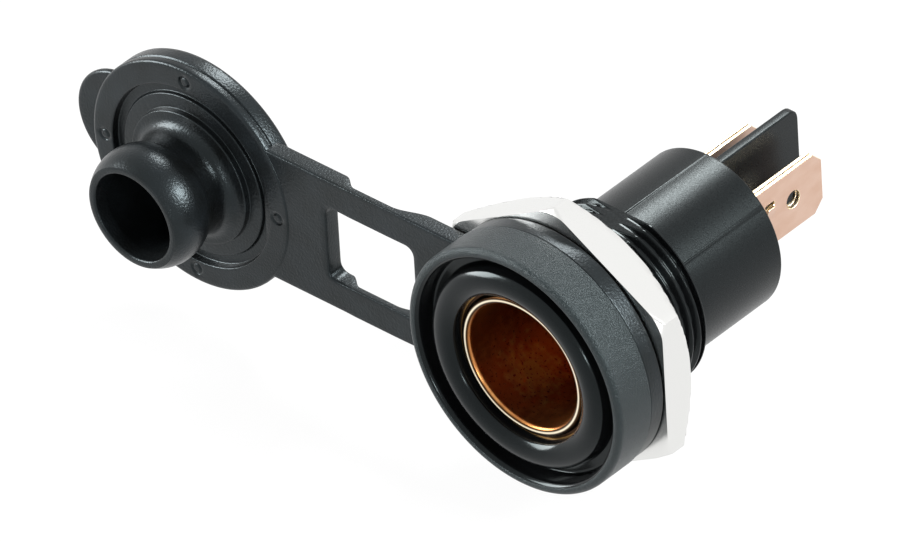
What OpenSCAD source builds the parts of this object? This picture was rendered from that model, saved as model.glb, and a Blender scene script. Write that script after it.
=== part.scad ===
// Panel-mounted single-pole power socket with a strapped rubber cap, in millimetres.
// The socket's axis lies along Y: the mouth faces -Y and the blade terminals point to +Y.
// The origin is on the axis, in the plane of the rubber ring's rear face, which lies on the panel.

/* [Contact sleeve] */
// Bore of the brass sleeve, which takes the plug
bore_d = 12; // [11.6:0.1:12.6]
// Wall of the drawn sleeve
sleeve_wall = 0.4; // [0.3:0.05:0.6]
// Depth of the sleeve from the seat of its rim to its lower edge
sleeve_depth = 18.2; // [14:0.5:22]
// Radius of the rolled bead at the mouth
rim_bead_r = 0.45; // [0.3:0.05:0.6]
// Width of the flat flange outside the rolled bead
rim_flange_w = 0.3; // [0.2:0.05:0.5]
// Length of the full bore, from the rolled bead to the shoulder
bore_len = 15.3; // [12:0.1:16]
// How far the shoulder narrows the bore, on the radius
shoulder_w = 0.3; // [0.2:0.05:0.4]
// Width of the turned-in foot of the sleeve
sleeve_foot_w = 1.0; // [0.8:0.1:1.4]

/* [Housing] */
// Diameter of the collar at the front
collar_d = 24; // [22.6:0.2:26]
// Depth of the collar, from its lip to the rubber ring
collar_depth = 4.1; // [3.6:0.1:6]
// Width of the raised lip round the collar
lip_w = 1.1; // [0.8:0.1:1.4]
// Depth of the open groove between the lip and the boss
lip_groove = 2.1; // [1:0.1:2.6]
// Diameter of the raised glossy boss round the mouth
boss_d = 19.3; // [18:0.1:19.8]
// Width of the flat top of the boss
boss_top_w = 0.5; // [0.3:0.1:0.9]
// Radius of the boss's outer edge
boss_round = 0.6; // [0.3:0.1:1]
// Depth of the step inside the boss
boss_step = 0.3; // [0.1:0.1:0.5]
// Depth of the sleeve's rim below the boss
rim_sink = 1.5; // [1.2:0.1:2]
// Outer diameter of the thread
thread_d = 17.9; // [17:0.1:19]
// Pitch of the thread
thread_pitch = 1.0; // [0.75:0.25:1.5]
// Depth of the thread
thread_depth = 0.55; // [0.3:0.05:0.7]
// Length of the threaded neck behind the panel plane
thread_len = 8.9; // [7:0.1:12]
// Distance between the two smooth flats that interrupt the thread
thread_flats = 16.7; // [16:0.1:17.4]
// Diameter of the plain body behind the thread
body_d = 15.6; // [15:0.1:16.4]
// Length of the housing behind the panel plane, to its rear rim
body_len = 20.2; // [18:0.2:26]
// Thickness of the floor that carries the terminals
floor_t = 2.6; // [2:0.2:4]
// Wall round the recess behind the floor
rear_wall = 0.9; // [0.7:0.1:1.2]
// Thickness of the partition between the terminals
partition_t = 0.9; // [0.7:0.1:1.6]
// Height of the partition
partition_h = 12.0; // [10:0.2:13]
// How far the partition stands out behind the rear rim
partition_len = 11.5; // [8:0.1:14]
// Radius of the partition's two rear corners
partition_round = 1.2; // [0.6:0.1:2]
// Height of the fine mould ribs along the body
mould_rib_h = 0.12; // [0.08:0.02:0.2]
// Width of the fine mould ribs
mould_rib_w = 0.25; // [0.15:0.05:0.4]

/* [Terminals] */
// Width of a blade
blade_w = 6.3; // [4.8:0.1:6.4]
// Thickness of a blade
blade_t = 0.8; // [0.6:0.1:1]
// How far the blades stand out behind the rear rim
blade_len = 11; // [9:0.2:13]
// Chamfer at a blade's tip
blade_chamfer = 1.1; // [0.6:0.1:1.5]
// Diameter of the detent hole in a blade
detent_d = 1.7; // [1.2:0.1:2.2]
// Distance of the detent hole from the blade's tip
detent_back = 3.8; // [3:0.1:5]
// Length of the lanced notch near a blade's root
notch_len = 1.2; // [0.8:0.1:1.6]
// Distance of the notch behind the rear rim
notch_back = 3.6; // [2:0.1:4]
// Distance of the notch's near side from the blade's middle
notch_up = 0.9; // [0.5:0.1:1.4]
// Outer face of the centre contact's blade, from the axis
centre_blade_x = 2.9; // [2.3:0.1:3.5]
// Outer face of the sleeve's blade, from the axis
sleeve_blade_x = 4.8; // [4.3:0.1:5]
// Diameter of the centre contact's head
contact_d = 5.2; // [4:0.1:5.6]
// Height of the centre contact's head
contact_h = 2.9; // [1.8:0.1:3]
// Diameter of the cup in the centre contact
contact_cup_d = 3.2; // [2:0.1:4]
// Diameter of the centre contact's riveted shank
shank_d = 2.4; // [1.6:0.1:3]
// Length of the centre contact's riveted shank
shank_len = 2.2; // [1.6:0.1:2.8]
// Thickness of the insulating washer
washer_t = 0.6; // [0.4:0.1:1]

/* [Hex nut] */
// Width of the nut across its flats
nut_af = 24; // [22:0.5:27]
// Thickness of the nut
nut_t = 4.6; // [3:0.1:5]
// Depth of the cone that is turned on the rear of the nut
nut_cone_h = 2.6; // [1:0.1:2.8]
// Diameter of the nut's rear face
nut_rear_d = 20.6; // [19.5:0.1:23]
// Chamfer on the front corners of the nut
nut_front_chamfer = 0.5; // [0.2:0.1:1]
// Gap between the nut and the rubber ring at rest
nut_gap = 0.1; // [0.05:0.05:0.5]

/* [Rubber ring and strap] */
// How far the ring stays inside the collar's edge
ring_margin = 0.1; // [0.05:0.05:0.5]
// Thickness of the ring and of the strap's two ends
ring_t = 1.7; // [1.2:0.1:2.2]
// Width of the strap
strap_w = 13.6; // [11:0.2:15]
// Thickness of the strap where it folds
strap_flex_t = 0.7; // [0.5:0.1:1.2]
// Distance from the socket's axis to the cap's axis
cap_pitch = 40.4; // [38:0.1:44]
// Length of the thin stretch that folds
flex_len = 4.2; // [3:0.1:6]
// Length of the slope between the thin stretch and the cap's end
flex_slope_cap = 1.7; // [1:0.1:3]
// Length of the slope between the thin stretch and the ring's end
flex_slope_ring = 3.8; // [1:0.1:5]
// Height of the window in the strap
window_h = 7.7; // [6:0.1:9]
// Edge of the window next to the ring, from the socket's axis
window_near = 14.8; // [14:0.1:16]
// Edge of the window next to the cap, from the socket's axis
window_far = 24.8; // [23:0.1:26]
// Radius of the window's corners
window_round = 1.0; // [0.5:0.1:2]

/* [Cap] */
// How far the cap's disc stays inside the collar's edge
cap_margin = 0.7; // [0.3:0.1:0.9]
// Thickness of the cap's disc
cap_t = 2.6; // [2.4:0.1:4]
// Depth of the fine line round the disc's rim
cap_line = 0.15; // [0.1:0.05:0.3]
// Outer diameter of the circular groove in the front face
cap_groove_d = 18.1; // [17:0.1:19]
// Width of the circular groove
cap_groove_w = 1.1; // [0.5:0.1:1.3]
// Depth of the circular groove
cap_groove_h = 0.7; // [0.4:0.1:1]
// How far the plateau inside the groove lies behind the face
plateau_drop = 0.3; // [0.1:0.1:0.5]
// Diameter of the raised foot under the knob's neck
foot_d = 13.2; // [12.6:0.1:14]
// Height of the foot above the plateau
foot_h = 0.6; // [0.3:0.1:0.8]
// Diameter of the knob's neck
neck_d = 9.8; // [9.4:0.1:10.4]
// Largest diameter of the hollow knob
knob_d = 11.4; // [10.8:0.1:11.5]
// Distance of the knob's widest place in front of the disc
knob_at = 5.2; // [4.8:0.1:5.6]
// Radius of the knob's bulge along its axis
bulge_round = 4.0; // [3.2:0.1:5]
// Length of the knob in front of the disc
knob_len = 7.6; // [7:0.1:8.2]
// Diameter of the open mouth of the knob
knob_mouth_d = 8.6; // [7.6:0.1:8.8]
// Thickness of the disc behind the knob's hollow
knob_floor = 1.6; // [1.2:0.1:2.2]
// Radius of the pull tab
pull_r = 5.4; // [4.5:0.1:6]
// How far the pull tab reaches beyond the disc
pull_len = 3.5; // [2.5:0.1:5]
// Thickness of the pull tab at its rim
pull_t = 0.7; // [0.6:0.1:1.2]
// Depth of the thumb hollow in the pull tab
pull_dish = 0.25; // [0.1:0.05:0.35]

/* [Hidden] */
$fn = 96;
eps = 0.01;
press_gap = 0.02;
slot_gap = 0.05;
run_gap = 0.06;
seat_gap = 0.2;

bore_r = bore_d / 2;
sleeve_r = bore_r + sleeve_wall;
socket_r = sleeve_r + press_gap;
front_y = -ring_t - collar_depth;
root_r = thread_d / 2 - thread_depth;
collar_r = collar_d / 2;
ring_r = collar_r - ring_margin;
cap_r = collar_r - cap_margin;
rim_seat_y = front_y + rim_sink + sleeve_wall;
rim_r = bore_r + 2 * rim_bead_r + rim_flange_w;
sleeve_end_y = rim_seat_y + sleeve_depth;
floor_y = sleeve_end_y + blade_t;
recess_y = floor_y + floor_t;
shoulder_y = rim_seat_y - sleeve_wall + bore_len;
lower_r = bore_r - shoulder_w;
blade_tip_y = body_len + blade_len;
boss_r = boss_d / 2;
boss_inner_r = boss_r - boss_round - boss_top_w;
thread_r = thread_d / 2;
body_r = body_d / 2;
recess_r = body_r - rear_wall;
thread_turns = floor((thread_len - 0.4) / thread_pitch);

// The fold axis lies halfway between the two axes, a little towards the cap, so that the knob
// swings down the middle of the bore. Its depth brings the cap's face to the lip.
fold_shift = 0.05;
fold_x = -cap_pitch / 2 - fold_shift;
cap_face_y = -ring_t - 0.1;
fold_y = (front_y - seat_gap + cap_face_y) / 2;
knob_r = knob_d / 2;
neck_r = neck_d / 2;
foot_r = foot_d / 2;
mouth_r = knob_mouth_d / 2;

// Points of an arc round [cx, cy] from angle a to angle b, in n steps
function arc(cx, cy, r, a, b, n = 8) =
    [for (i = [0:n]) [cx + r * cos(a + (b - a) * i / n), cy + r * sin(a + (b - a) * i / n)]];

// Revolves an outline of [radius, y] points round the Y axis
module turned(outline) {
    rotate([-90, 0, 0])
        rotate_extrude()
            polygon(outline);
}

// A round bar or hole along Y, from y0 to y1
module bar(r, y0, y1) {
    translate([0, y0, 0])
        rotate([-90, 0, 0])
            cylinder(r = r, h = y1 - y0);
}

// A box given by its lowest and highest corners
module block(low, high) {
    translate(low)
        cube(high - low);
}

// A plate in the plane of X and Z with round corners, from y0 to y1
module round_plate(x0, x1, half_h, r, y0, y1) {
    block([x0 + r, y0, -half_h], [x1 - r, y1, half_h]);
    block([x0, y0, -half_h + r], [x1, y1, half_h - r]);
    for (x = [x0 + r, x1 - r])
        for (z = [-half_h + r, half_h - r])
            translate([x, 0, z])
                bar(r, y0, y1);
}

module housing_profile() {
    thread_y0 = 0.4;
    lip_r = lip_w / 2;
    turned(concat(
        [[socket_r, floor_y], [socket_r, rim_seat_y], [rim_r + press_gap, rim_seat_y]],
        [[rim_r + press_gap, rim_seat_y - rim_bead_r - 0.1]],
        [[boss_inner_r - 0.5, front_y + boss_step + 0.25], [boss_inner_r - 0.25, front_y + boss_step]],
        [[boss_inner_r - 0.05, front_y + boss_step], [boss_inner_r, front_y + 0.05]],
        arc(boss_r - boss_round, front_y + boss_round + 0.05, boss_round, -90, 0),
        [[boss_r, front_y + lip_groove], [collar_r - lip_w, front_y + lip_groove]],
        arc(collar_r - lip_r, front_y + lip_r, lip_r, -180, 0),
        [[collar_r, -ring_t - 0.15], [collar_r - 0.15, -ring_t], [root_r, -ring_t], [root_r, thread_y0]],
        [for (i = [0:thread_turns - 1])
            for (p = [[0.32, 0], [0.5, 0], [0.82, -1], [1, -1]])
                [thread_r + p[1] * thread_depth, thread_y0 + (i + p[0]) * thread_pitch]],
        [[root_r, thread_len - 0.1], [body_r, thread_len + 0.2]],
        [[body_r, body_len - 0.2], [body_r - 0.2, body_len], [recess_r, body_len]],
        [[recess_r, recess_y], [0, recess_y], [0, floor_y]]
    ));
}

module partition() {
    half_h = partition_h / 2;
    y1 = body_len + partition_len;
    difference() {
        block([-partition_t, recess_y - eps, -half_h], [0, y1, half_h]);
        for (side = [-1, 1])
            translate([0, y1, side * half_h])
                difference() {
                    block([-2 * partition_t, -partition_round, -partition_round],
                        [partition_t, partition_round, partition_round]);
                    translate([0, -partition_round, -side * partition_round])
                        rotate([0, 90, 0])
                            cylinder(r = partition_round, h = 8 * partition_t, center = true);
                }
    }
}

// The two fine ribs that the mould leaves along the body, at their angles from the top
module mould_ribs() {
    for (turn = [-2, 50])
        rotate([0, turn, 0])
            block([-mould_rib_w / 2, thread_len + 0.1, body_r - 0.3],
                [mould_rib_w / 2, body_len - 0.3, body_r + mould_rib_h]);
}

module housing() {
    color([0.07, 0.075, 0.08])
        difference() {
            union() {
                difference() {
                    housing_profile();
                    for (side = [0, 180])
                        rotate([0, side, 0])
                            block([-thread_r, 0.3, thread_flats / 2],
                                [thread_r, thread_len + 0.1, thread_r + 1]);
                }
                partition();
                mould_ribs();
            }
            blade_slot(centre_blade_x - blade_t, centre_blade_x);
            blade_slot(-sleeve_blade_x, -sleeve_blade_x + blade_t);
            bar(shank_d / 2 + slot_gap, floor_y - 1, floor_y + shank_len - blade_t + 0.3);
        }
}

module blade_slot(x0, x1) {
    half = blade_w / 2 + slot_gap;
    block([x0 - slot_gap, floor_y - 1, -half], [x1 + slot_gap, recess_y + 1, half]);
}

module contact_sleeve() {
    color([0.83, 0.62, 0.28])
        turned(concat(
            [[lower_r, sleeve_end_y - sleeve_wall], [lower_r, shoulder_y + shoulder_w]],
            [[bore_r, shoulder_y], [bore_r, rim_seat_y - sleeve_wall]],
            arc(bore_r + rim_bead_r, rim_seat_y - sleeve_wall, rim_bead_r, 180, 360),
            [[rim_r, rim_seat_y - sleeve_wall], [rim_r, rim_seat_y], [sleeve_r, rim_seat_y]],
            [[sleeve_r, sleeve_end_y], [sleeve_r - sleeve_foot_w, sleeve_end_y]],
            [[sleeve_r - sleeve_foot_w, sleeve_end_y - sleeve_wall]]
        ));
}

// An upright blade with a chamfered tip, a detent hole and a lanced notch; x0 is its lower face
module blade(x0) {
    half = blade_w / 2;
    c = blade_chamfer;
    notch_y = body_len + notch_back;
    difference() {
        translate([x0, 0, 0])
            rotate([90, 0, 90])
                linear_extrude(blade_t)
                    polygon([
                        [sleeve_end_y, -half], [blade_tip_y - c, -half], [blade_tip_y, -half + c],
                        [blade_tip_y, half - c], [blade_tip_y - c, half], [sleeve_end_y, half]
                    ]);
        translate([x0 - 1, blade_tip_y - detent_back, 0])
            rotate([0, 90, 0])
                cylinder(d = detent_d, h = blade_t + 2);
        block([x0 - 1, notch_y, notch_up], [x0 + blade_t + 1, notch_y + notch_len, notch_up + 0.4]);
    }
}

module centre_blade() {
    foot_x = contact_d / 2 - 0.2;
    color([0.85, 0.66, 0.35])
        difference() {
            union() {
                blade(centre_blade_x - blade_t);
                block([-foot_x, sleeve_end_y, -foot_x], [centre_blade_x - eps, floor_y, foot_x]);
            }
            bar(shank_d / 2 + press_gap, sleeve_end_y - 1, floor_y + 1);
        }
}

module sleeve_blade() {
    foot_half = 1.8;
    color([0.85, 0.66, 0.35])
        union() {
            blade(-sleeve_blade_x);
            block([-sleeve_r + 0.4, sleeve_end_y, -foot_half], [-sleeve_blade_x + eps, floor_y, foot_half]);
        }
}

module centre_contact() {
    head_y = sleeve_end_y - contact_h;
    head_r = contact_d / 2;
    cup_r = contact_cup_d / 2;
    color([0.83, 0.62, 0.28])
        turned([
            [0, floor_y + shank_len - blade_t], [shank_d / 2, floor_y + shank_len - blade_t],
            [shank_d / 2, sleeve_end_y], [head_r, sleeve_end_y], [head_r, head_y + 0.4],
            [head_r - 0.4, head_y], [cup_r + 0.3, head_y], [cup_r, head_y + 0.3],
            [cup_r, sleeve_end_y - 1.4], [0, sleeve_end_y - 0.8]
        ]);
}

module insulating_washer() {
    y1 = sleeve_end_y - sleeve_wall;
    color([0.42, 0.25, 0.13])
        difference() {
            bar(lower_r - slot_gap, y1 - washer_t, y1);
            bar(contact_d / 2 + slot_gap, y1 - washer_t - 1, y1 + 1);
        }
}

module hex_nut() {
    corner_r = nut_af / sqrt(3);
    y0 = nut_gap;
    y1 = nut_gap + nut_t;
    color([0.86, 0.86, 0.84])
        difference() {
            intersection() {
                translate([0, y0, 0])
                    rotate([-90, 0, 0])
                        rotate([0, 0, 90])
                            cylinder(r = corner_r, h = nut_t, $fn = 6);
                turned([
                    [0, y0], [corner_r - nut_front_chamfer, y0], [corner_r + 0.1, y0 + nut_front_chamfer],
                    [corner_r + 0.1, y1 - nut_cone_h], [nut_rear_d / 2, y1], [0, y1]
                ]);
            }
            bar(thread_r + run_gap, y0 - 1, y1 + 1);
            turned([[0, y0 - 1], [thread_r + 1.4, y0 - 1], [thread_r, y0 + 0.4], [0, y0 + 0.4]]);
        }
}

// The strap's side view, as [x, y] points: thick at both ends and thin where it folds
module strap_side() {
    thin_ring = fold_x + flex_len / 2 + 0.5;
    thin_cap = fold_x - flex_len / 2 + 0.5;
    thin = strap_flex_t - ring_t;
    polygon([
        [0, -ring_t], [-cap_pitch, -ring_t], [-cap_pitch, 0],
        [thin_cap - flex_slope_cap, 0], [thin_cap, thin], [thin_ring, thin],
        [thin_ring + flex_slope_ring, 0], [0, 0]
    ]);
}

module strap() {
    difference() {
        translate([0, 0, -strap_w / 2])
            linear_extrude(strap_w)
                strap_side();
        round_plate(-window_far, -window_near, window_h / 2, window_round, -ring_t - 1, 1);
    }
}

// The part of the strap between two places along X
module strap_part(x0, x1) {
    intersection() {
        strap();
        block([x0, -ring_t, -strap_w], [x1, 0, strap_w]);
    }
}

module retaining_ring() {
    color([0.13, 0.14, 0.15])
        difference() {
            union() {
                bar(ring_r, -ring_t, 0);
                strap_part(fold_x, 0);
            }
            bar(root_r + press_gap, -ring_t - 1, 1);
        }
}

// The cap's outline round its own axis, with y = 0 at its front face
module cap_profile() {
    groove_r = cap_groove_d / 2;
    hollow_y = cap_t - knob_floor;
    plateau_r = groove_r - cap_groove_w;
    foot_y = plateau_drop - foot_h;
    neck_round = foot_r - 0.4 - neck_r;
    bulge_c = knob_r - bulge_round;
    neck_a = acos((neck_r - bulge_c) / bulge_round);
    rim_a = asin((knob_len - 0.15 - knob_at) / bulge_round);
    turned(concat(
        [[0, cap_t], [cap_r - 0.5, cap_t]],
        arc(cap_r - 0.5, cap_t - 0.5, 0.5, 90, 0, 5),
        [[cap_r, 1.05], [cap_r - cap_line, 0.9], [cap_r - cap_line, 0.8], [cap_r, 0.65]],
        arc(cap_r - 0.4, 0.4, 0.4, 0, -90, 5),
        [[groove_r, 0], [groove_r - 0.1, cap_groove_h], [plateau_r + 0.1, cap_groove_h]],
        [[plateau_r, plateau_drop + 0.15], [plateau_r - 0.15, plateau_drop], [foot_r, plateau_drop]],
        [[foot_r, foot_y + 0.2], [foot_r - 0.2, foot_y]],
        arc(neck_r + neck_round, foot_y - neck_round, neck_round, 90, 180, 6),
        arc(bulge_c, -knob_at, bulge_round, neck_a, -rim_a, 18),
        [[bulge_c + bulge_round * cos(rim_a) - 0.15, -knob_len], [mouth_r + 0.1, -knob_len]],
        [[mouth_r, -knob_len + 0.1], [mouth_r, hollow_y - 1.2]],
        arc(mouth_r - 1.2, hollow_y - 1.2, 1.2, 0, 90, 5),
        [[0, hollow_y]]
    ));
}

// The tongue at the cap's far side, hollowed for the thumb
module pull_tab() {
    dish_r = (pull_r * pull_r * 0.64 + pull_dish * pull_dish) / (2 * pull_dish);
    centre_x = -cap_r - pull_len + pull_r;
    difference() {
        translate([centre_x, 0, 0])
            bar(pull_r, cap_t - pull_t, cap_t);
        translate([centre_x - 0.9, cap_t - pull_t - dish_r + pull_dish, 0])
            sphere(r = dish_r);
        bar(cap_r - 1.5, -1, cap_t + 1);
    }
}

module sealing_cap() {
    color([0.13, 0.14, 0.15])
        union() {
            translate([-cap_pitch, cap_face_y, 0]) {
                cap_profile();
                pull_tab();
            }
            difference() {
                strap_part(-cap_pitch, fold_x);
                translate([-cap_pitch, 0, 0])
                    bar(cap_r - 1, -ring_t - 1, 1);
            }
        }
}

housing();
retaining_ring();
sealing_cap();
hex_nut();
contact_sleeve();
sleeve_blade();
centre_contact();
centre_blade();
insulating_washer();
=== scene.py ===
# %% [markdown]
# # A panel power socket with a strapped rubber cap
# This is the small 12 V socket of a dashboard or a boat: a brass sleeve in a black moulding,
# a nickel-plated nut that clamps it to a panel, two blade terminals behind, and a rubber cap on
# a strap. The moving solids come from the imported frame, and this lesson dresses them.
# Every shape here is a formula on a grid of numbers, so a change of one size redraws it whole.

# %% The frame and the units
import math

import bmesh
import bpy
import numpy as np
from mathutils import Matrix, Vector
from mathutils.geometry import tessellate_polygon


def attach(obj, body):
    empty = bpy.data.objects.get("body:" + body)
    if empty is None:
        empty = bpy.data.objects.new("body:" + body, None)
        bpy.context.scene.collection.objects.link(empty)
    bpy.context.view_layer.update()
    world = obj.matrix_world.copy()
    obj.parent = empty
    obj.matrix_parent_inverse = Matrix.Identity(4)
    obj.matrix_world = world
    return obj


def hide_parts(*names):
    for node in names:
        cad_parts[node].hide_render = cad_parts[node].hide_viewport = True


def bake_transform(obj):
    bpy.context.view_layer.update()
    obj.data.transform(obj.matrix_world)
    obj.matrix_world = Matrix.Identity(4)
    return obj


MM = 0.001
MERGE = 1e-7  # points nearer than this, in metres, are one point
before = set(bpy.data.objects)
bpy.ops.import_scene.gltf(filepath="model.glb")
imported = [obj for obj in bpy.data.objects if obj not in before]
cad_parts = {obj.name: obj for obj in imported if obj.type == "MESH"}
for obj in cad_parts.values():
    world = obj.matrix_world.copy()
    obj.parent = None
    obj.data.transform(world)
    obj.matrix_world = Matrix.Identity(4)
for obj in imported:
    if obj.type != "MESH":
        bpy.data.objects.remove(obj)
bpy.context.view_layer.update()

# %% [markdown]
# ## From a grid of points to a mesh
# A skin can be pushed and pulled from a cube, cut with booleans, or worked out as a surface of
# two parameters. The last is chosen: rows and columns of points, joined by four-sided faces.
# A direction that closes on itself joins its last line to its first. Points that fall together,
# as at a pole, are merged, and the faces of a closed skin are turned to look outwards.

# %% Grid faces, skins and one mesh for one piece
def grid_faces(rows, columns, close_rows, close_columns):
    """Each face joins point (i, j) to its neighbours (i+1, j), (i+1, j+1) and (i, j+1)."""
    i = np.arange(rows if close_rows else rows - 1)[:, None]
    j = np.arange(columns if close_columns else columns - 1)[None, :]
    down, right = (i + 1) % rows, (j + 1) % columns
    corners = (i * columns + j, down * columns + j, down * columns + right, i * columns + right)
    return np.stack(corners, -1).reshape(-1, 4)


def skin(grid, close_rows=False, close_columns=True):
    """A closed skin in millimetres, from points on a grid of rows and columns."""
    rows, columns = grid.shape[:2]
    return grid.reshape(-1, 3), grid_faces(rows, columns, close_rows, close_columns).tolist()


def make_piece(name, skins, sharp=40):
    """One mesh of several closed skins, placed by its points and smooth below the sharp angle."""
    starts = np.cumsum([0] + [len(points) for points, _ in skins])
    points = np.concatenate([points for points, _ in skins]) * MM
    faces = [[int(start) + k for k in face]
             for (_, part), start in zip(skins, starts) for face in part]
    mesh = bpy.data.meshes.new(name)
    mesh.from_pydata(points.tolist(), [], faces)
    shell = bmesh.new()
    shell.from_mesh(mesh)
    bmesh.ops.remove_doubles(shell, verts=shell.verts, dist=MERGE)
    bmesh.ops.recalc_face_normals(shell, faces=shell.faces)
    shell.to_mesh(mesh)
    shell.free()
    mesh.polygons.foreach_set("use_smooth", np.ones(len(mesh.polygons), bool))
    mesh.set_sharp_from_angle(angle=math.radians(sharp))
    piece = bpy.data.objects.new(name, mesh)
    bpy.context.scene.collection.objects.link(piece)
    piece.modifiers.new("even_shading", "WEIGHTED_NORMAL").keep_sharp = True
    print(name, len(mesh.polygons), "faces")
    return piece

# %% [markdown]
# ## Profiles and outlines
# Nothing moulded or turned has a perfectly sharp edge. The thin bright line on a real edge is
# light caught by its small rounding, so every profile is rounded before it is used.

# %% Rounded paths and turned skins
def rounded(corners, radii, steps=5, closed=False):
    """Each corner C becomes the curve (1-s)^2 A + 2s(1-s) C + s^2 B, where A and B lie on its two
    sides, a tangent's length from C but never past the middle of a side."""
    keenest, most_of_side = 0.999, 0.48
    c = np.asarray(corners, float)
    back, ahead = np.roll(c, 1, 0) - c, np.roll(c, -1, 0) - c
    back_len, ahead_len = np.linalg.norm(back, axis=1), np.linalg.norm(ahead, axis=1)
    cosine = np.sum(back * ahead, 1) / (back_len * ahead_len)
    reach = np.asarray(radii, float) / np.tan(0.5 * np.arccos(np.clip(cosine, -1, keenest)))
    reach = np.minimum(reach, most_of_side * np.minimum(back_len, ahead_len))
    if not closed:
        reach = reach * np.r_[0, np.ones(len(c) - 2), 0]
    a = (c + back * (reach / back_len)[:, None])[:, None]
    b = (c + ahead * (reach / ahead_len)[:, None])[:, None]
    s = np.linspace(0, 1, steps)[None, :, None]
    return ((1 - s) ** 2 * a + 2 * s * (1 - s) * c[:, None] + s ** 2 * b).reshape(-1, 2)


def turned(radius, y, angle, centre_x=0.0):
    """x = radius sin(angle), z = radius cos(angle): the angle runs from the top towards +X."""
    radius, y, angle = np.broadcast_arrays(radius, y, angle)
    return np.stack([centre_x + radius * np.sin(angle), y, radius * np.cos(angle)], -1)


def arc_path(centre, radius, start, end, steps=9):
    """Points round a centre, from one angle in degrees to another."""
    a = np.radians(np.linspace(start, end, steps))
    return np.stack([centre[0] + radius * np.cos(a), centre[1] + radius * np.sin(a)], 1)


def smooth_step(low, high, value):
    """0 below low, 1 above high, and t^2 (3 - 2t) between them."""
    t = np.clip((value - low) / (high - low), 0, 1)
    return t * t * (3 - 2 * t)

# %% [markdown]
# ## Flat plates
# The blades and the strap are plates with a window and a softly rounded rim. A plate is a pile
# of rings: each ring is the outline moved inwards a little, at its own height. Rings that run
# from the window over the front to the rim and back behind close the skin like a tyre.

# %% Slabs and framed plates
def resample(path, count):
    """Points at equal steps along a closed path."""
    ring = np.concatenate([path, path[:1]])
    travelled = np.r_[0, np.cumsum(np.linalg.norm(np.diff(ring, axis=0), axis=1))]
    at = np.linspace(0, travelled[-1], count, endpoint=False)
    return np.stack([np.interp(at, travelled, ring[:, k]) for k in (0, 1)], 1)


def inset(outline, distance):
    """The outline moved inwards along its normal: its direction turned by a right angle."""
    along = np.roll(outline, -1, 0) - np.roll(outline, 1, 0)
    along = along / np.linalg.norm(along, axis=1, keepdims=True)
    side = np.stack([-along[:, 1], along[:, 0]], 1)
    before = np.roll(outline, 1, 0)
    area = np.sum(before[:, 0] * outline[:, 1] - before[:, 1] * outline[:, 0])
    return outline[None] + np.sign(area) * np.reshape(distance, (-1, 1, 1)) * side[None]


def edge_rings(thickness, edge, steps=5):
    """How far in and how high each ring of a rounded side lies, from the front to the rear."""
    turn = np.linspace(0, np.pi / 2, steps)
    inwards = np.r_[edge * (1 - np.sin(turn)), edge * (1 - np.cos(turn))]
    height = np.r_[edge * (1 - np.cos(turn)), thickness - edge * (1 - np.sin(turn))]
    return inwards, height


def slab(outline, thickness, edge):
    """A plate with a rounded rim: middle, front face, rounded side, rear face, middle."""
    inwards, height = edge_rings(thickness, edge)
    side = inset(outline, inwards)
    middle = outline.mean(0)
    share = np.array([0.0, 0.5])[:, None, None]
    rings = np.concatenate([middle + share * (side[:1] - middle), side,
                            middle + share[::-1] * (side[-1:] - middle)])
    heights = np.r_[0, 0, height, thickness, thickness]
    return rings, np.broadcast_to(heights[:, None], rings.shape[:2])


def framed(outer, inner, thickness, edge, across=8):
    """A plate with a window: from the window's side over the front to the rim and back."""
    inwards, height = edge_rings(thickness, edge)
    rim, hole = inset(outer, inwards), inset(inner, -inwards)
    share = np.linspace(0, 1, across)[1:-1, None, None]
    rings = np.concatenate([hole[::-1], hole[0] + share * (rim[0] - hole[0]), rim,
                            rim[-1] + share * (hole[-1] - rim[-1])])
    heights = np.r_[height[::-1], np.zeros(across - 2), height, np.full(across - 2, thickness)]
    return rings, np.broadcast_to(heights[:, None], rings.shape[:2])

# %% [markdown]
# ## One function for every node
# Materials are graphs of nodes. Writing them by hand is long, so one small function adds a node,
# sets its options, and fills or links its inputs. Colours are written as on a screen, in hex, and
# one function turns them into the linear values that light is reckoned in.

# %% Nodes and colours
def add_node(tree, kind, inputs=None, **options):
    """A new node with its options set and its inputs given a value or a link."""
    node = tree.nodes.new(kind)
    for key, value in options.items():
        setattr(node, key, value)
    for key, value in (inputs or {}).items():
        if isinstance(value, bpy.types.NodeSocket):
            tree.links.new(value, node.inputs[key])
        else:
            node.inputs[key].default_value = value
    return node


def linear(code):
    """A screen colour c becomes c / 12.92 when dark and ((c + 0.055) / 1.055) ^ 2.4 when not."""
    c = np.array([int(code[k:k + 2], 16) for k in (1, 3, 5)]) / 255
    c = np.where(c <= 0.04045, c / 12.92, ((c + 0.055) / 1.055) ** 2.4)
    return (*c.tolist(), 1.0)


def blend_colours(tree, share, first, second):
    """The first colour where the share is 0 and the second where it is 1."""
    mix = tree.nodes.new("ShaderNodeMix")
    mix.data_type = "RGBA"
    for socket, value in ((mix.inputs[0], share), (mix.inputs[6], first), (mix.inputs[7], second)):
        if isinstance(value, bpy.types.NodeSocket):
            tree.links.new(value, socket)
        else:
            socket.default_value = value
    return mix.outputs[2]

# %% [markdown]
# ## Patterns and relief
# Most of the materials below need the same few steps: a sum, a noise of a size in millimetres, a
# ramp that stretches a part of it, and a relief that is only seen in the light.

# %% Sums, noises, ramps and relief
def reckon(tree, operation, *values):
    """One step of arithmetic on values or links."""
    return add_node(tree, "ShaderNodeMath", dict(enumerate(values)), operation=operation).outputs[0]


def noise(tree, place, size, detail):
    """A pattern between 0 and 1 whose patches are about size millimetres wide."""
    inputs = {"Vector": place, "Scale": 1 / (size * MM), "Detail": detail}
    return add_node(tree, "ShaderNodeTexNoise", inputs).outputs["Fac"]


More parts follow.
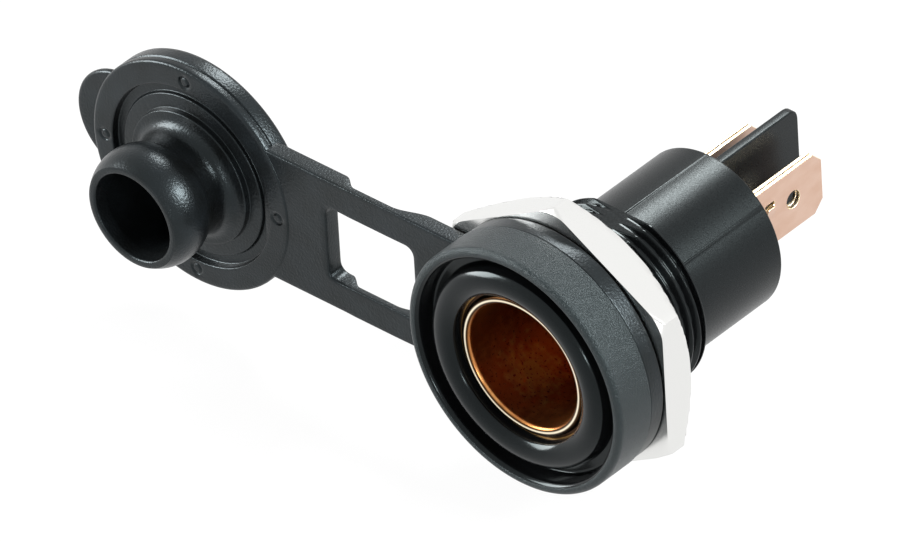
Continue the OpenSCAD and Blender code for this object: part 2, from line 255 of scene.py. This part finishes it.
def ramp(tree, value, low, high, start=0.0, end=1.0):
    """The start at low, the end at high, and a straight line between them."""
    inputs = {"Value": value, "From Min": low, "From Max": high, "To Min": start, "To Max": end}
    return add_node(tree, "ShaderNodeMapRange", inputs).outputs[0]


def emboss(tree, shader, height, depth):
    """The surface is lit as if it stood depth millimetres higher where the height is 1."""
    bump = add_node(tree, "ShaderNodeBump", {"Height": height, "Distance": depth * MM})
    tree.links.new(bump.outputs["Normal"], shader.inputs["Normal"])


def start_material(name, sockets):
    """A material with its shader's own sockets set, and the object's coordinates in metres."""
    material = bpy.data.materials.new(name)
    material.use_nodes = True
    tree = material.node_tree
    shader = tree.nodes["Principled BSDF"]
    for key, value in sockets.items():
        shader.inputs[key].default_value = value
    place = tree.nodes.new("ShaderNodeTexCoord").outputs["Object"]
    return material, tree, shader, place

# %% [markdown]
# ## The camera
# The photograph is a cut-out taken with a long lens from the front right and above. Ellipses
# measured on it gave the direction, and a 940 mm lens from 2 m away gives its flat perspective.

# %% Camera
azimuth, elevation, roll = np.radians([43.37, 37.02, -3.43])
distance, lens_share = 2000.0, 0.47008
aim_right, aim_up = -9.19, 5.90
level = np.array([np.cos(azimuth), np.sin(azimuth), 0])
backwards = np.array([np.sin(azimuth) * np.cos(elevation),
                      -np.cos(azimuth) * np.cos(elevation), np.sin(elevation)])
upright = np.cross(backwards, level)
cam_x = np.cos(roll) * level + np.sin(roll) * upright
cam_y = np.cos(roll) * upright - np.sin(roll) * level
aim = aim_right * cam_x + aim_up * cam_y
pose = np.eye(4)
pose[:3, :3] = np.stack([cam_x, cam_y, backwards], 1)
pose[:3, 3] = (aim + backwards * distance) * MM
camera = bpy.data.objects.new("camera", bpy.data.cameras.new("camera"))
bpy.context.scene.collection.objects.link(camera)
camera.data.lens = lens_share * distance
camera.data.clip_start, camera.data.clip_end = 0.05, 50
camera.matrix_world = Matrix(pose.tolist())
bpy.context.scene.camera = camera
print("camera at", np.round(pose[:3, 3], 3), "m, lens", round(camera.data.lens), "mm")

# %% [markdown]
# ## The studio
# A product photograph of black things needs large pale surfaces around them: a black gloss shows
# nothing but what it mirrors. The world is white to the camera and in reflections and dimmer for
# the light it sheds, and four soft boxes draw the highlights.

# %% World, floor and lamps
def seen(tree):
    """1 where a ray comes from the camera, from a reflection or through glass, and 0 elsewhere."""
    rays = add_node(tree, "ShaderNodeLightPath")
    direct = reckon(tree, "MAXIMUM", rays.outputs["Is Camera Ray"], rays.outputs["Is Glossy Ray"])
    return reckon(tree, "MAXIMUM", direct, rays.outputs["Is Transmission Ray"])


def make_world(shed):
    """The background's strength is shed + (1 - shed) times seen."""
    world = bpy.data.worlds.new("studio")
    bpy.context.scene.world = world
    world.use_nodes = True
    tree = world.node_tree
    strength = reckon(tree, "MULTIPLY_ADD", seen(tree), 1 - shed, shed)
    tree.nodes["Background"].inputs["Color"].default_value = (1, 1, 1, 1)
    tree.links.new(strength, tree.nodes["Background"].inputs["Strength"])


def make_floor(height, size=2.0, glow_share=0.93):
    """A wide white sheet that keeps a faint part of the shadow on it."""
    mesh = bpy.data.meshes.new("floor")
    corners = np.array([[-1, -1, 0], [1, -1, 0], [1, 1, 0], [-1, 1, 0]]) * size + [0, 0, height]
    mesh.from_pydata(corners.tolist(), [], [(0, 1, 2, 3)])
    floor = bpy.data.objects.new("floor", mesh)
    bpy.context.scene.collection.objects.link(floor)
    material, tree, shader, _ = start_material(
        "white_paper", {"Base Color": linear("#f4f4f4"), "Roughness": 0.9})
    glow = add_node(tree, "ShaderNodeEmission", {"Strength": 1.0})
    share = reckon(tree, "MULTIPLY", seen(tree), glow_share)
    mix = add_node(tree, "ShaderNodeMixShader",
                   {0: share, 1: shader.outputs[0], 2: glow.outputs[0]})
    tree.links.new(mix.outputs[0], tree.nodes["Material Output"].inputs["Surface"])
    mesh.materials.append(material)


def soft_box(name, towards, reach, size, watts):
    """A square lamp at a direction (azimuth, elevation in degrees) from the object, facing it."""
    a, e = np.radians(towards)
    out = np.array([np.sin(a) * np.cos(e), -np.cos(a) * np.cos(e), np.sin(e)])
    lamp = bpy.data.lights.new(name, "AREA")
    lamp.size, lamp.energy = size, watts
    holder = bpy.data.objects.new(name, lamp)
    bpy.context.scene.collection.objects.link(holder)
    side = np.cross([0, 0, 1.0], out)
    side /= np.linalg.norm(side)
    place = np.eye(4)
    place[:3, :3] = np.stack([side, np.cross(out, side), out], 1)
    place[:3, 3] = out * reach + aim * MM
    holder.matrix_world = Matrix(place.tolist())


make_world(0.40)
make_floor(-0.0145)
soft_box("rear_left_box", (-156, 46), 0.45, 0.12, 1.5)
soft_box("right_box", (110, 35), 0.45, 0.16, 3.4)
soft_box("left_box", (-62, 16), 0.50, 0.24, 4.2)
soft_box("front_box", (40, 7), 0.60, 0.08, 0.8)
bpy.context.scene.view_settings.view_transform = "Standard"

# %% [markdown]
# ## The black mouldings
# The housing is one injection moulding of a black thermoplastic such as polyamide. Polished steel
# in the mould leaves it glossy, with the faint waviness of plastic that shrank as it cooled.
# The outside of the collar is different: there the mould was spark-eroded, which leaves fine
# pits and a satin look that hides fingerprints.

# %% Thermoplastic, polished and spark-eroded
def moulded_thermoplastic(name, colour, rough, level, pits):
    """Gloss by the shader; waviness 4 mm long and pits 0.12 mm wide by two noises. The pits'
    noise also varies the roughness a little."""
    material, tree, shader, place = start_material(
        name, {"Base Color": linear(colour), "Roughness": rough, "IOR": 1.5,
               "Specular IOR Level": level, "Specular Tint": linear("#d4e6e8")})
    waves = noise(tree, place, 4, 1.0)
    grain = noise(tree, place, 0.12, 2.0)
    emboss(tree, shader, reckon(tree, "MULTIPLY_ADD", grain, pits, waves), 0.02)
    uneven = ramp(tree, grain, 0.35, 0.65, rough - 0.04, rough + 0.06)
    tree.links.new(uneven, shader.inputs["Roughness"])
    return material


polyamides = [moulded_thermoplastic("polished_moulded_polyamide", "#0c0d0e", 0.15, 0.22, 0.05),
              moulded_thermoplastic("spark_eroded_polyamide", "#101517", 0.34, 0.45, 5.0),
              moulded_thermoplastic("moulded_polyamide", "#090a0b", 0.3, 0.24, 0.4)]

# %% [markdown]
# ## The housing
# Turned on a lathe in thought: one profile from the floor of the sleeve's seat, over the boss and
# the lip of the collar, down the threaded neck and the body, and into the recess behind. A
# thread could be cut from a screw-shaped solid, but here the radius simply depends on the angle
# as well as on the height, so the crest climbs one pitch in each turn.

# %% Housing profile
collar_r, ring_t, front_y = 12.0, 1.7, -5.8
boss_r, root_r, crest_r, body_r, body_len = 9.65, 8.4, 8.95, 7.8, 20.2
seat_y, floor_y, recess_y, recess_r = -3.9, 15.1, 17.7, 6.9
pitch, thread_from, thread_to, flat_half = 1.0, 0.3, 8.8, 8.35

sleeve_r, shoulder_r, rim_drop = 6.42, 7.22, 0.72
crown, lean, keen_edge = 1.6, 44, 0.3
valley_r, valley_drop, lip_r = 10.9, 2.1, 0.55

seat = rounded([(0, floor_y), (sleeve_r, floor_y), (sleeve_r, seat_y), (shoulder_r, seat_y),
                (shoulder_r, front_y + rim_drop)], [0, 0, 0, 0.05, 0])
crown_at = np.array([(shoulder_r + boss_r) / 2, front_y + crown])
towards_edge = (crown - keen_edge) * np.array([np.sin(np.radians(lean)), -np.cos(np.radians(lean))])
boss = np.concatenate([
    arc_path(crown_at + towards_edge * [-1, 1], keen_edge, 180, 270 - lean, 7),
    arc_path(crown_at, crown, 270 - lean, 270 + lean, 28),
    arc_path(crown_at + towards_edge, keen_edge, 270 + lean, 360, 7)])
valley = rounded([(boss_r, front_y + rim_drop), (boss_r, front_y + valley_drop),
                  (valley_r, front_y + valley_drop), (valley_r, front_y + 0.7)],
                 [0, 0.35, 0.35, 0])
lip = arc_path((collar_r - lip_r, front_y + lip_r), lip_r, -180, 0, 15)
collar = rounded([(collar_r, front_y + 0.56), (collar_r, -ring_t), (root_r, -ring_t),
                  (root_r, thread_from)], [0, 0.12, 0.1, 0])
neck_y = np.linspace(thread_from, thread_to, 190)
neck = np.stack([np.full_like(neck_y, root_r), neck_y], 1)
tail = rounded([(crest_r, thread_to + 0.05), (crest_r, thread_to + 0.2), (body_r, thread_to + 0.35),
                (body_r, body_len), (recess_r, body_len), (recess_r, recess_y), (0, recess_y)],
               [0, 0.08, 0.1, 0.2, 0.1, 0.2, 0])
profile = np.concatenate([seat, boss, valley, lip, collar, neck, tail])
print("housing profile:", len(profile), "points")

# %% Housing skin
rib_at, rib_width, rib_height = (358, 50), 0.12, 0.1
crest_flat, flank = 1.2, 3.2
flat_from = 8.0
near_rib = np.arange(-2, 2.1, 0.25)
around = np.r_[np.arange(0, 360, 1.5), (rib_at[0] + near_rib) % 360, rib_at[1] + near_rib]
around = np.unique(np.round(np.radians(around), 6))


def housing_radius(radius, y, angle):
    """On the neck the radius rises from root to crest as y / pitch - angle / turn nears a whole
    number, and no point lies beyond the two flats. On the body two fine ribs rise where the
    mould's parts met."""
    turns = y / pitch - angle / (2 * np.pi)
    wave = np.clip(crest_flat - flank * np.abs(turns - np.round(turns)), 0, 1)
    ends = (smooth_step(thread_from, thread_from + 0.5, y)
            * (1 - smooth_step(thread_to + 0.02, thread_to + 0.03, y)))
    on_neck = (y >= thread_from) & (y <= thread_to) & (np.abs(radius - root_r) < 0.01)
    radius = radius + np.where(on_neck, (crest_r - root_r) * ends * wave, 0)
    beyond = (y > thread_from) & (y < thread_to + 0.3) & (radius > flat_from)
    flat = flat_half / np.maximum(np.abs(np.cos(angle)), 0.5)
    radius = np.where(beyond, np.minimum(radius, np.maximum(flat, flat_from)), radius)
    on_body = (radius > body_r - 0.05) & (y > thread_to + 0.4) & (y < body_len - 0.3)
    ribs = sum(np.exp(-((angle - np.radians(a)) * body_r / rib_width) ** 2) for a in rib_at)
    return radius + np.where(on_body, rib_height * ribs, 0)


radii = housing_radius(profile[:, :1], profile[:, 1:], around[None])
housing_skin = skin(turned(radii, profile[:, 1:], around[None]))

# %% [markdown]
# ## The partition
# A flat wall between the two terminals keeps a slipped connector from bridging them. It is part
# of the same moulding, so its skin is simply joined to the housing's mesh.

# %% Partition and the finished housing
wall_t, wall_half, wall_end = 0.9, 6.0, 31.7
wall_corners = [(recess_y - 0.3, -wall_half), (wall_end, -wall_half), (wall_end, wall_half),
                (recess_y - 0.3, wall_half)]
wall_outline = resample(rounded(wall_corners, [0.1, 1.2, 1.2, 0.1], 9, closed=True), 160)
wall_rings, wall_height = slab(wall_outline, wall_t, 0.15)
wall_skin = skin(np.stack([wall_height - wall_t, wall_rings[..., 0], wall_rings[..., 1]], -1))
housing = make_piece("housing_moulding", [housing_skin, wall_skin], 50)
for finish in polyamides:
    housing.data.materials.append(finish)
centres = np.empty(3 * len(housing.data.polygons))
housing.data.polygons.foreach_get("center", centres)
centres = centres.reshape(-1, 3) / MM
on_wall = (np.hypot(centres[:, 0], centres[:, 2]) > 11.2) & (centres[:, 1] < -ring_t)
behind = centres[:, 1] > thread_to + 0.3
housing.data.polygons.foreach_set("material_index", (on_wall + 2 * behind).astype(np.int32))
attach(housing, "socket")
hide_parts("housing")

# %% [markdown]
# ## The rubber
# The ring, the strap and the cap are one compression moulding of a black rubber such as EPDM.
# The filler in it scatters light, so the black is a dark bluish grey with wide soft highlights,
# and the rough mould leaves a fine grain. Dust and wear make it paler in patches.

# %% Compression-moulded rubber
def rubber_finish(name, colour, pale, rough):
    """Two colours mixed by a noise 3 mm wide, under a grain 0.2 mm wide and 0.03 mm deep."""
    material, tree, shader, place = start_material(
        name, {"Roughness": rough, "IOR": 1.5, "Specular IOR Level": 0.33,
               "Specular Tint": linear("#d0e2e8")})
    share = ramp(tree, noise(tree, place, 3, 4.0), 0.35, 0.7)
    mixed = blend_colours(tree, share, linear(colour), linear(pale))
    tree.links.new(mixed, shader.inputs["Base Color"])
    emboss(tree, shader, noise(tree, place, 0.2, 2.0), 0.03)
    return material


rubber = rubber_finish("compression_moulded_rubber", "#090a0a", "#121517", 0.29)

# %% [markdown]
# ## The rubber ring and the strap
# The ring sits behind the collar and seals it to the panel. The strap leaves it as a flat band
# with a window, and thins where it folds. The real strap bends when the cap is closed; here it
# is a flat piece of its own.

# %% Ring
ring_bore, ring_rim = 8.42, 11.9
ring_profile = rounded([(ring_bore, -ring_t), (ring_rim, -ring_t), (ring_rim, 0), (ring_bore, 0)],
                       0.2, closed=True)
fine_turn = np.radians(np.arange(0, 360, 2))
ring_grid = turned(ring_profile[:, :1], ring_profile[:, 1:], fine_turn[None])
ring = make_piece("rubber_ring", [skin(ring_grid, True)])
ring.data.materials.append(rubber)
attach(ring, "socket")
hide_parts("retaining_ring")

# %% Strap
fold_t = 0.7
strap_corners = [(-32.0, -6.8), (-9.3, -6.8), (-9.3, 6.8), (-32.0, 6.8)]
window_corners = [(-24.8, -3.85), (-14.8, -3.85), (-14.8, 3.85), (-24.8, 3.85)]
strap_outer = resample(rounded(strap_corners, 0.3, closed=True), 360)
strap_inner = rounded(window_corners, 1.0, 9, closed=True)


def matched(outer, inner):
    """The inner path's point on the ray from the window's middle to each outer point."""
    middle = inner.mean(0)
    dense = resample(inner, 4000) - middle
    bearing = np.arctan2(dense[:, 1], dense[:, 0])
    order = np.argsort(bearing)
    wanted = np.arctan2(outer[:, 1] - middle[1], outer[:, 0] - middle[0])
    return middle + np.stack([np.interp(wanted, bearing[order], dense[order, k], period=2 * np.pi)
                              for k in (0, 1)], 1)


def strap_thickness(x):
    """Thick at both ends and 0.7 mm where it folds, with a smooth slope on each side."""
    thin = smooth_step(-23.55, -21.85, x) * (1 - smooth_step(-17.65, -13.85, x))
    return ring_t - (ring_t - fold_t) * thin


rings, shares = framed(strap_outer, matched(strap_outer, strap_inner), 1.0, 0.16, 12)
strap_y = -ring_t + shares * strap_thickness(rings[..., 0])
strap_grid = np.stack([rings[..., 0], strap_y, rings[..., 1]], -1)
strap = make_piece("rubber_strap", [skin(strap_grid, True)])
strap.data.materials.append(rubber)
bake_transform(strap)
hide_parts("retaining_ring", "sealing_cap")

# %% [markdown]
# ## The cap
# A disc that covers the collar, with a hollow knob in front that plugs the socket when the cap
# is folded over. On a real cap the thin-walled bulb squeezes into the bore and grips it; here it
# is a little narrower than the bore, because nothing in the model squeezes.

# %% Cap disc and knob
cap_x, face_y, disc_r, disc_t = -40.4, -1.8, 11.3, 2.6
knob_r, knob_at, bulge, neck_r, mouth_r, knob_len = 5.7, 5.2, 4.0, 4.9, 4.3, 7.6
rear = rounded([(0, disc_t), (disc_r, disc_t), (disc_r, 1.05), (disc_r - 0.15, 0.95),
                (disc_r - 0.15, 0.8), (disc_r, 0.7), (disc_r, 0.0), (10.6, 0.0)],
               [0, 0.5, 0.08, 0.04, 0.04, 0.08, 0.4, 0])
face = np.stack([np.linspace(10.55, 9.45, 15), np.zeros(15)], 1)
front = rounded([(9.4, 0), (9.05, 0), (8.95, 0.7), (8.05, 0.7), (7.95, 0.3), (6.6, 0.3),
                 (6.55, -0.3), (6.2, -0.3)],
                [0, 0.15, 0.15, 0.15, 0.15, 0.1, 0.15, 0])
knob_neck = arc_path((neck_r + 1.3, -1.6), 1.3, 90, 180, 12)
bulb_from = np.degrees(np.arccos((neck_r - knob_r + bulge) / bulge))
bulb = arc_path((knob_r - bulge, -knob_at), bulge, bulb_from, -33, 30)
hollow = rounded([(4.95, -knob_len + 0.05), (4.75, -knob_len), (mouth_r, -knob_len),
                  (mouth_r - 0.25, -knob_len + 1.2), (mouth_r - 0.4, 1.0), (0, 1.0)],
                 [0, 0.2, 0.3, 0.8, 1.5, 0], 9)
cap_profile = np.concatenate([rear, face, front, knob_neck, bulb, hollow])
near_marks = (np.arange(-5, 5.1, 0.4)[None] + np.arange(0, 360, 90)[:, None]).ravel() % 360
cap_turn = np.radians(np.unique(np.round(np.r_[np.arange(0, 360, 1.5), near_marks], 4)))
mark_at, mark_r, mark_depth, mark_line = 9.95, 0.5, 0.12, 0.12


def marks(radius, y, turn):
    """Four rings 1 mm wide, where pins pushed the cap out of its mould: the depth is 0.12 mm
    times e to the minus square of the distance from the ring's line over 0.12 mm."""
    across = radius * np.abs(np.sin(2 * turn)) / 2
    apart = np.hypot(radius - mark_at, across)
    depth = mark_depth * np.exp(-((apart - mark_r) / mark_line) ** 2)
    return np.where((radius > 9.3) & (radius < 10.85) & (np.abs(y) < 0.01), depth, 0)


cap_y = face_y + cap_profile[:, 1:] + marks(cap_profile[:, :1], cap_profile[:, 1:], cap_turn[None])
disc_skin = skin(turned(cap_profile[:, :1], cap_y, cap_turn[None], cap_x))

# %% Pull tab
tab_turn = np.radians(np.arange(0, 360, 3))
tab_r, tab_t, tab_out, tab_sunk = 5.4, 0.7, 3.5, 0.06
flat_r, thumb_depth = 4.9, 0.25
tab_x = cap_x - disc_r - tab_out + tab_r
inwards, heights = edge_rings(tab_t, 0.3)
spread = np.r_[np.linspace(0, flat_r, 12), tab_r - inwards, np.linspace(flat_r, 0, 5)]
tab_height = np.r_[np.zeros(12), heights, np.full(5, tab_t)]
thumb = np.where(tab_height < tab_t / 2, thumb_depth * (1 - smooth_step(0.5, flat_r, spread)), 0)
tab_front = face_y + disc_t - tab_t - tab_sunk
tab_y = np.repeat((tab_front + tab_height + thumb)[:, None], len(tab_turn), 1)
tab_grid = np.stack([tab_x + spread[:, None] * np.cos(tab_turn), tab_y,
                     spread[:, None] * np.sin(tab_turn)], -1)
cap = make_piece("rubber_cap", [disc_skin, skin(tab_grid)])
cap.data.materials.append(rubber)
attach(cap, "cap")
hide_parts("sealing_cap")

# %% [markdown]
# ## The nut
# A hexagon bar is turned, bored and plated with nickel. Where the turned cone meets the flats it
# leaves curved edges: the radius at each angle is the smaller of the hexagon's and the cone's.
# The smaller is taken softly, as -ln(e^(-k a) + e^(-k b)) / k, which rounds the edges.

# %% Nut
nut_angle = np.radians(np.arange(0, 360, 1.5))
nut_profile = rounded([(9.6, 0.1), (13.3, 0.1), (13.95, 0.6), (13.95, 2.1), (10.3, 4.7),
                       (9.2, 4.7), (9.01, 4.4), (9.01, 0.8)],
                      [0.05, 0.1, 0.1, 0.3, 0.15, 0.1, 0.1, 0.1], closed=True)
nut_grid = np.concatenate([np.linspace(a, b, 8, endpoint=False)
                           for a, b in zip(nut_profile, np.roll(nut_profile, -1, 0))])
around_corner = (nut_angle + np.pi / 6) % (np.pi / 3) - np.pi / 6
half_flats, keen = 12.0, 14.0
hexagon = half_flats / np.cos(np.pi / 6 - np.abs(around_corner))
nut_r = -np.log(np.exp(-keen * nut_grid[:, :1]) + np.exp(-keen * hexagon[None])) / keen
nut_skin = skin(turned(nut_r, nut_grid[:, 1:], nut_angle[None]), True)
nut = make_piece("turned_nut", [nut_skin], 30)
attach(nut, "nut")
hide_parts("hex_nut")


def turned_nickel(name):
    """Bright nickel with turning marks: a wave of the distance from the axis. Its phase is 20
    times the scaled distance, so 0.25 mm is one radian and the rings lie 1.6 mm apart."""
    radian, phase_per_scale = 0.25, 20
    material, tree, shader, place = start_material(
        name, {"Base Color": linear("#e4e4e2"), "Metallic": 1.0, "Roughness": 0.22})
    lathe = add_node(tree, "ShaderNodeMapping", {"Vector": place, "Scale": (1, 0, 1)})
    wave = add_node(tree, "ShaderNodeTexWave",
                    {"Vector": lathe.outputs[0], "Scale": 1 / (radian * phase_per_scale * MM),
                     "Distortion": 0.4}, wave_type="RINGS", rings_direction="SPHERICAL")
    emboss(tree, shader, wave.outputs["Fac"], 0.004)
    return material


nut.data.materials.append(turned_nickel("nickel_plated_turned_brass"))

# %% [markdown]
# ## The brass sleeve
# A thin cup drawn from brass strip: a rolled bead at the mouth, a long wall that grips the plug,
# a shoulder and a turned-in foot. Handling and heat tarnish the inside to amber. On it are
# painted a golden pool of light inside, a dark reflection on the mouth and thin highlights on
# its edges.

# %% Sleeve
bead = arc_path((6.45, -4.3), 0.45, 180, 360, 13)
outer_wall = rounded([(7.2, -4.3), (7.2, seat_y), (6.4, seat_y), (6.4, 14.3), (5.4, 14.3),
                      (5.4, 13.9), (5.7, 13.9), (5.7, 11.3), (6.0, 11.0), (6.0, -4.3)],
                     [0.05, 0.05, 0, 0.2, 0.05, 0.05, 0.1, 0.2, 0.2, 0])
sleeve_profile = np.concatenate([bead, outer_wall])
sleeve_grid = turned(sleeve_profile[:, :1], sleeve_profile[:, 1:], fine_turn[None])
sleeve = make_piece("brass_sleeve", [skin(sleeve_grid, True)])
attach(sleeve, "socket")
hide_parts("contact_sleeve")


def drawn_brass(name, bright, tarnish, rough, streak):
    """Brass whose colour runs to tarnish by a noise stretched along the draw."""
    material, tree, shader, place = start_material(name, {"Metallic": 1.0, "Roughness": rough})
    drawn = add_node(tree, "ShaderNodeMapping", {"Vector": place, "Scale": streak})
    patches = noise(tree, drawn.outputs[0], 1.5, 5.0)
    share = ramp(tree, patches, 0.38, 0.62)
    mixed = blend_colours(tree, share, linear(bright), linear(tarnish))
    tree.links.new(mixed, shader.inputs["Base Color"])
    emboss(tree, shader, patches, 0.01)
    return material


def brass_with_painted_light(name):
    """Inside, amber with dark specks and a painted pool of light: a golden patch that fades within
    some 3 mm of its middle, ragged by a noise. The rolled mouth carries a painted dark reflection,
    but for thin painted highlights at 6.42 and 7.2 mm from the axis, on the bead's crest and on
    the flange's edge."""
    material, tree, shader, place = start_material(name, {"Metallic": 1.0, "Roughness": 0.28})
    flat = add_node(tree, "ShaderNodeMapping", {"Vector": place, "Scale": (1, 0, 1)})
    radius = add_node(tree, "ShaderNodeVectorMath", {0: flat.outputs[0]},
                      operation="LENGTH").outputs["Value"]
    # The middle of the painted pool of light on the inner wall.
    middle = (-3.4 * MM, 0.2 * MM, -4.9 * MM)
    from_patch = add_node(tree, "ShaderNodeVectorMath", {0: place, 1: middle}, operation="DISTANCE")
    ragged = reckon(tree, "MULTIPLY", noise(tree, place, 0.8, 5.0), 6 * MM)
    from_painted_light = reckon(tree, "ADD", from_patch.outputs["Value"], ragged)
    specks = noise(tree, place, 0.25, 2.0)
    # Gold fades to amber away from the painted pool of light, and the specks are real. Beyond 6.2
    # mm from the axis the mouth is painted dark as a reflection.
    layers = [("#dca062", from_painted_light, 3.8 * MM, 6.2 * MM), ("#ba7c48", from_painted_light, 7.0 * MM, 9.0 * MM),
              ("#9a683c", specks, 0.6, 0.72), ("#3a2410", radius, 6.08 * MM, 6.2 * MM)]
    # Two thin painted highlights: on the bead's crest and on the flange's edge.
    for line, half, code in ((6.42, 0.13, "#fff2d6"), (7.2, 0.1, "#c89a5c")):
        away = reckon(tree, "ABSOLUTE", reckon(tree, "SUBTRACT", radius, line * MM))
        layers.append((code, away, half * MM, 0.3 * half * MM))
    # Bright gold at the middle of the painted pool of light.
    colour = linear("#fff0a0")
    for code, value, low, high in layers:
        colour = blend_colours(tree, ramp(tree, value, low, high), colour, linear(code))
    tree.links.new(colour, shader.inputs["Base Color"])
    emboss(tree, shader, specks, 0.01)
    return material


# The sleeve's finish carries painted light: a pool of light, a dark reflection and highlights.
sleeve.data.materials.append(brass_with_painted_light("drawn_brass"))

# %% [markdown]
# ## The blade terminals
# Each blade is pressed from thin brass strip and folded over to double its thickness, which
# shows as a dark line between two bright edges. A dimple in the connector snaps into the hole.

# %% Blades
def pierced(loops, thickness, edge):
    """A plate with holes: every loop gets a rounded side of rings, and each of the two flat faces
    is cut into triangles between the first loop, the rim, and the others, the holes."""
    inwards, height = edge_rings(thickness, edge)
    points, faces, start, flats = [], [], 0, ([], [])
    for number, loop in enumerate(loops):
        side = inset(loop, inwards if number == 0 else -inwards)
        heights = np.broadcast_to(height[:, None, None], side.shape[:2] + (1,))
        points.append(np.concatenate([side, heights], -1))
        corners = start + np.arange(side.shape[0] * side.shape[1]).reshape(side.shape[:2])
        faces += (grid_faces(*side.shape[:2], False, True) + start).tolist()
        flats[0].append((points[-1][0], corners[0]))
        flats[1].append((points[-1][-1], corners[-1]))
        start += corners.size
    for flat in flats:
        order = np.concatenate([corners for _, corners in flat])
        cut = tessellate_polygon([[Vector(p) for p in ring.tolist()] for ring, _ in flat])
        faces += order[np.array(cut)].tolist()
    return np.concatenate([grid.reshape(-1, 3) for grid in points]), faces


def leaf(x0, thickness, tip_y=31.2, root_y=15.0):
    """One layer of a blade: a plate with chamfered tip, latch hole and notch, standing on edge."""
    half, tip_half, chamfer = 3.15, 2.05, 1.1
    rim = rounded([(root_y, -half), (tip_y - chamfer, -half), (tip_y, -tip_half), (tip_y, tip_half),
                   (tip_y - chamfer, half), (root_y, half)], 0.15, closed=True)
    hole = arc_path((tip_y - 3.8, 0), 0.85, 0, 352.5, 48)
    notch = rounded([(23.8, 0.9), (25.0, 0.9), (25.0, 1.3), (23.8, 1.3)], 0.18, closed=True)
    flat, faces = pierced([rim, hole, notch], thickness, 0.08)
    return np.stack([x0 + flat[:, 2], flat[:, 0], flat[:, 1]], 1), faces


def lug(x0):
    """The tongue below the notch: a small plate whose free end stands 0.25 mm out of the blade."""
    lift = 0.25
    corners = [(23.9, -0.5), (24.9, -0.5), (24.9, 0.92), (23.9, 0.92)]
    rings, height = slab(resample(rounded(corners, 0.15, closed=True), 60), 0.3, 0.06)
    along, up = rings[..., 0], rings[..., 1]
    return skin(np.stack([x0 + height + lift * smooth_step(-0.5, 0.9, up), along, up], -1))


def foot_plate(x0, x1, half):
    """The blade's bent foot under the floor."""
    foot_y = 14.3
    corners = [(x0, -half), (x1, -half), (x1, half), (x0, half)]
    rings, height = slab(resample(rounded(corners, 0.2, closed=True), 80), 0.8, 0.1)
    return skin(np.stack([rings[..., 0], foot_y + height, rings[..., 1]], -1))


blade_metal = drawn_brass("pressed_brass_strip", "#d3b5a3", "#cdac98", 0.42, (1, 0.5, 1))
# The edges are painted far paler than the faces: bare sheared metal, and a painted highlight that
# stands in for light caught on the edges.
sheared_metal_and_highlight = drawn_brass("sheared_brass_edge_and_painted_highlight", "#f8ead0", "#e6cfa4", 0.3, (1, 0.5, 1))
leaf_t, leaf_step = 0.36, 0.44
pair = [("centre_terminal", 2.1, foot_plate(-2.4, 2.9, 2.4), "centre_blade"),
        ("sleeve_terminal", -4.8, foot_plate(-6.0, -4.8, 1.8), "sleeve_blade")]
for name, x0, foot_skin, node in pair:
    leaves = [leaf(x0, leaf_t), leaf(x0 + leaf_step, leaf_t)]
    blade = make_piece(name, leaves + [lug(x0 + 0.5), foot_skin], 30)
    blade.data.materials.append(blade_metal)
    blade.data.materials.append(sheared_metal_and_highlight)
    normals = np.empty(3 * len(blade.data.polygons))
    blade.data.polygons.foreach_get("normal", normals)
    on_edge = np.abs(normals.reshape(-1, 3)[:, 0]) < 0.9
    # Edge faces get the paler finish with the painted highlight.
    blade.data.polygons.foreach_set("material_index", on_edge.astype(np.int32))
    blade.data.polygons.foreach_set("use_smooth", on_edge)
    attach(blade, "socket")
    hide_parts(node)

# %% [markdown]
# ## The centre contact and its washer
# The photograph hides both, so their shapes are guesses. They keep the meshes of their solids and
# only get a finish here.

# %% Finishes of the kept solids
kept = {"centre_contact": drawn_brass("turned_brass", "#d09a4a", "#a06a2a", 0.3, (1, 1, 1)),
        "insulating_washer": rubber_finish("pressed_board", "#6b4023", "#54301a", 0.8)}
for node, material in kept.items():
    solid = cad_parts[node]
    solid.data.materials.clear()
    solid.data.materials.append(material)
